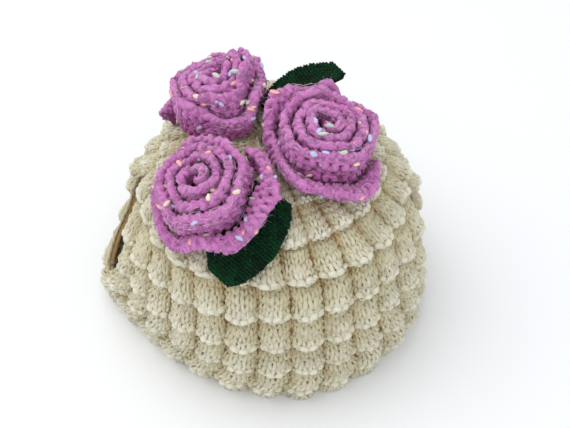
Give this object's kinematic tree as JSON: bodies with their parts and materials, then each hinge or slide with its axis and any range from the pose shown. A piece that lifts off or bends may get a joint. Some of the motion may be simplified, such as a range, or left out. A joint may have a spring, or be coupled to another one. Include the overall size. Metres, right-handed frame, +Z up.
{
  "type": "tea cosy",
  "caption": "Knitted wool cover for a small teapot: two pleated panels with a spout slit and a handle slit, topped with crocheted roses and leaves.",
  "frame": {"origin": "middle of the hem's footprint, on the surface that the cosy stands on", "axes": "+X from the spout slit to the handle slit, +Y to the back, +Z up"},
  "size_m": [0.1698, 0.1624, 0.1361],
  "materials": {
    "cream_wool": "cream wool, knitted in puffed scales",
    "rose_tweed_yarn": "pink-lilac tweed yarn with coloured flecks, crocheted",
    "leaf_yarn": "dark green yarn, closely knitted"
  },
  "bodies": {
    "root": {"panel_front": "cream_wool", "panel_back": "cream_wool", "rose_left": "rose_tweed_yarn", "rose_right": "rose_tweed_yarn", "rose_back": "rose_tweed_yarn", "leaf_front": "leaf_yarn", "leaf_back": "leaf_yarn"}
  },
  "joints": []
}
